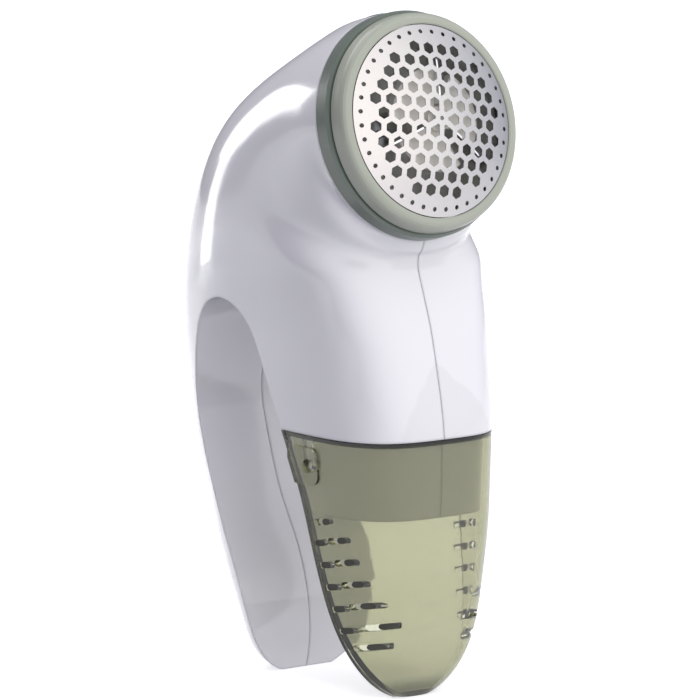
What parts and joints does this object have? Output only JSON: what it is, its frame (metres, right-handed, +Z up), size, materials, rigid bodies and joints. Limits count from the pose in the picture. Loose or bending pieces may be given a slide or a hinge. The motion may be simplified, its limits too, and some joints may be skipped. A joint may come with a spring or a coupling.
{
  "type": "fabric shaver",
  "caption": "Hook-shaped battery fabric shaver: round perforated cutting head, broad handle leg and a translucent green lint bin as its front leg.",
  "frame": {"origin": "middle of the overall width and depth, at the level of the two leg tips it stands on", "axes": "+Z up, the cutting head faces -Y, X across the handle"},
  "size_m": [0.059, 0.097, 0.1764],
  "materials": {
    "white_shell": "glossy, moulded",
    "sage_ring": "satin gloss",
    "green_collar": "satin gloss",
    "foil_steel": "fine brushed, perforated",
    "blade_steel": "ground",
    "rotor_white": "moulded",
    "spring_steel": "bright wire",
    "inner_plastic": "moulded",
    "motor_steel": "zinc plated",
    "motor_black": "moulded",
    "bin_green": "translucent, smoky olive green",
    "peg_white": "moulded",
    "cell_wrap": "plain printed sleeve without lettering",
    "contact_nickel": "nickel plated",
    "switch_green": "satin gloss",
    "switch_black": "moulded",
    "wire_red": "insulation",
    "wire_black": "insulation",
    "screw_steel": "zinc plated"
  },
  "bodies": {
    "housing": {"left_shell": "white_shell", "right_shell": "white_shell", "collar_ring": "green_collar", "motor_can": "motor_steel", "motor_cap": "motor_black", "motor_mount": "inner_plastic", "cutter_cup": "inner_plastic", "chute_wall": "inner_plastic", "catch_peg_left": "peg_white", "catch_peg_right": "peg_white", "cell_left": "cell_wrap", "cell_right": "cell_wrap", "cell_spring_left": "spring_steel", "cell_spring_right": "spring_steel", "contact_plate_low": "contact_nickel", "contact_plate_left": "contact_nickel", "contact_plate_right": "contact_nickel", "switch_body": "switch_black", "lead_red": "wire_red", "lead_black": "wire_black", "lead_switch": "wire_red", "screw_1": "screw_steel", "screw_2": "screw_steel", "screw_3": "screw_steel", "screw_4": "screw_steel"},
    "foil": {"foil": "foil_steel"},
    "front_ring": {"foil_ring": "sage_ring"},
    "rotor": {"rotor_hub": "rotor_white", "rotor_blade_1": "blade_steel", "rotor_blade_2": "blade_steel", "rotor_blade_3": "blade_steel", "rotor_spring": "spring_steel", "drive_coupler": "inner_plastic", "motor_shaft": "spring_steel"},
    "bin": {"lint_bin": "bin_green"},
    "door": {"battery_door": "white_shell"},
    "switch": {"switch_knob": "switch_green"}
  },
  "joints": [
    {"name": "foil_lift", "type": "slide", "parent": "housing", "child": "foil", "axis": [0, -0.9728, 0.2317], "range_m": [0, 0.03]},
    {"name": "ring_twist", "type": "hinge", "parent": "foil", "child": "front_ring", "pos_m": [0, -0.0473, 0.1502], "axis": [0, -0.9728, 0.2317], "range_deg": [0, 30]},
    {"name": "rotor_spin", "type": "hinge", "parent": "housing", "child": "rotor", "pos_m": [0, -0.0473, 0.1502], "axis": [0, -0.9728, 0.2317], "continuous": true},
    {"name": "bin_pull", "type": "slide", "parent": "housing", "child": "bin", "axis": [0, -0.1478, -0.989], "range_m": [0, 0.04]},
    {"name": "door_pull", "type": "slide", "parent": "housing", "child": "door", "axis": [0, 0.9916, -0.1294], "range_m": [0, 0.03]},
    {"name": "switch_slide", "type": "slide", "parent": "housing", "child": "switch", "axis": [0, 0.3502, -0.9367], "range_m": [0, 0.005]}
  ]
}
